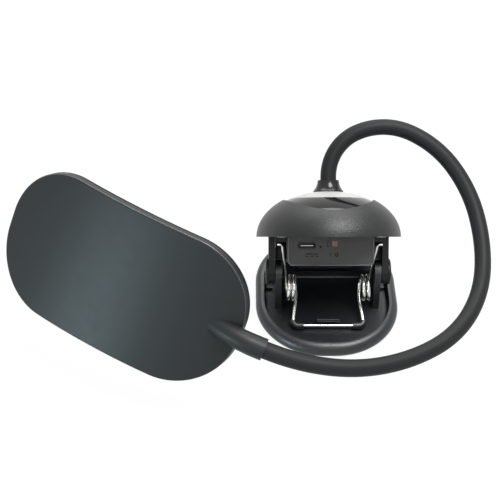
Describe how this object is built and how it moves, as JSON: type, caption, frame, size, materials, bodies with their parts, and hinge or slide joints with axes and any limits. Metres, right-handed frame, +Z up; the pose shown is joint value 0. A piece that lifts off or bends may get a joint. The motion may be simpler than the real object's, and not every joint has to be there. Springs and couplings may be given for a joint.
{
  "type": "clip-on gooseneck lamp",
  "caption": "Clip-on LED reading lamp: flat rounded head on a flexible gooseneck above a sprung clip with a domed upper jaw, USB-C inlet and slide switch.",
  "frame": {"origin": "centre of the lower jaw's foot pad, on the surface that the lamp stands on", "axes": "+Z up, +Y towards the clip's mouth, +X to the right seen from behind the clip, along the hinge line"},
  "size_m": [0.2343, 0.1328, 0.0953],
  "materials": {
    "clip_plastic": "spark-textured black",
    "pad_rubber": "soft matte black",
    "spring_steel": "bright nickel-plated wire",
    "sleeve_plastic": "satin black",
    "screw_steel": "zinc plated",
    "panel_gloss": "polished black",
    "cap_white": "translucent white",
    "board_laminate": "solder-mask green",
    "port_steel": "plated steel",
    "port_tongue": "black",
    "light_clear": "clear",
    "switch_plastic": "black",
    "knob_plastic": "satin black",
    "cell_wrap": "foil wrap",
    "anchor_brass": "turned",
    "neck_rubber": "silicone sleeve, matte",
    "head_plastic": "satin dark grey",
    "diffuser_milk": "milky",
    "led_board_metal": "white coated",
    "led_resin": "yellow phosphor",
    "connector_plastic": "white"
  },
  "bodies": {
    "lower_jaw": {"lower_jaw_shell": "clip_plastic", "foot_pad": "pad_rubber", "lower_grip_pad": "pad_rubber", "clip_spring": "spring_steel", "spring_sleeves": "sleeve_plastic"},
    "upper_jaw": {"upper_jaw_shell": "clip_plastic", "upper_frame": "clip_plastic", "hinge_pins": "clip_plastic", "frame_screws": "screw_steel", "upper_grip_pad": "pad_rubber", "top_panel": "panel_gloss", "top_cap": "cap_white", "electronics_box": "clip_plastic", "main_board": "board_laminate", "usb_port": "port_steel", "usb_tongue": "port_tongue", "charge_light": "light_clear", "switch_body": "switch_plastic", "battery_cell": "cell_wrap", "neck_collar": "panel_gloss", "neck_anchor": "anchor_brass", "neck_stub": "neck_rubber"},
    "switch": {"switch_knob": "knob_plastic"},
    "neck_01": {"neck_segment_01": "neck_rubber"},
    "neck_02": {"neck_segment_02": "neck_rubber"},
    "neck_03": {"neck_segment_03": "neck_rubber"},
    "neck_04": {"neck_segment_04": "neck_rubber"},
    "neck_05": {"neck_segment_05": "neck_rubber"},
    "neck_06": {"neck_segment_06": "neck_rubber"},
    "neck_07": {"neck_segment_07": "neck_rubber"},
    "neck_08": {"neck_segment_08": "neck_rubber"},
    "neck_09": {"neck_segment_09": "neck_rubber"},
    "head": {"neck_segment_10": "neck_rubber", "head_back_cover": "head_plastic", "head_front_frame": "head_plastic", "head_diffuser": "diffuser_milk", "led_board": "led_board_metal", "led_chips": "led_resin", "board_screws": "screw_steel", "lead_connector": "connector_plastic"}
  },
  "joints": [
    {"name": "clip_hinge", "type": "hinge", "parent": "lower_jaw", "child": "upper_jaw", "pos_m": [0, -0.0025, 0.0222], "axis": [1, 0, 0], "range_deg": [0, 45], "stiffness_Nm_per_rad": 0.6, "springref_deg": -40.11, "deforming": ["clip_spring"]},
    {"name": "switch_slide", "type": "slide", "parent": "upper_jaw", "child": "switch", "axis": [1, 0, 0], "range_m": [0, 0.0031]},
    {"name": "neck_bend_01", "type": "hinge", "parent": "upper_jaw", "child": "neck_01", "pos_m": [0, 0.02809, 0.05944], "axis": [0, 0.7318, -0.6815], "range_deg": [-34, 5]},
    {"name": "neck_bend_02", "type": "hinge", "parent": "neck_01", "child": "neck_02", "pos_m": [0.01437, 0.04364, 0.07518], "axis": [-0.027, 0.7026, -0.7111], "range_deg": [-34, 5]},
    {"name": "neck_bend_03", "type": "hinge", "parent": "neck_02", "child": "neck_03", "pos_m": [0.04145, 0.04383, 0.075], "axis": [-0.4065, -0.6479, -0.6442], "range_deg": [-22, 20]},
    {"name": "neck_bend_04", "type": "hinge", "parent": "neck_03", "child": "neck_04", "pos_m": [0.06267, 0.03028, 0.06381], "axis": [0.0866, 0.652, -0.7533], "range_deg": [-34, 5]},
    {"name": "neck_bend_05", "type": "hinge", "parent": "neck_04", "child": "neck_05", "pos_m": [0.07329, 0.00881, 0.04995], "axis": [0.1596, 0.5043, -0.8487], "range_deg": [-34, 5]},
    {"name": "neck_bend_06", "type": "hinge", "parent": "neck_05", "child": "neck_06", "pos_m": [0.07387, -0.01672, 0.03914], "axis": [-0.9765, 0.1793, -0.1197], "range_deg": [-22, 20]},
    {"name": "neck_bend_07", "type": "hinge", "parent": "neck_06", "child": "neck_07", "pos_m": [0.0645, -0.04213, 0.03346], "axis": [0.0947, 0.0739, -0.9928], "range_deg": [-34, 6]},
    {"name": "neck_bend_08", "type": "hinge", "parent": "neck_07", "child": "neck_08", "pos_m": [0.04534, -0.06206, 0.03208], "axis": [-0.0012, -0.0258, -0.9997], "range_deg": [-34, 6]},
    {"name": "neck_bend_09", "type": "hinge", "parent": "neck_08", "child": "neck_09", "pos_m": [0.02052, -0.07441, 0.03412], "axis": [-0.327, 0.9442, -0.0399], "range_deg": [-22, 20]},
    {"name": "neck_bend_10", "type": "hinge", "parent": "neck_09", "child": "head", "pos_m": [-0.00645, -0.07895, 0.03893], "axis": [-0.2111, -0.0969, -0.9726], "range_deg": [-34, 8]}
  ]
}
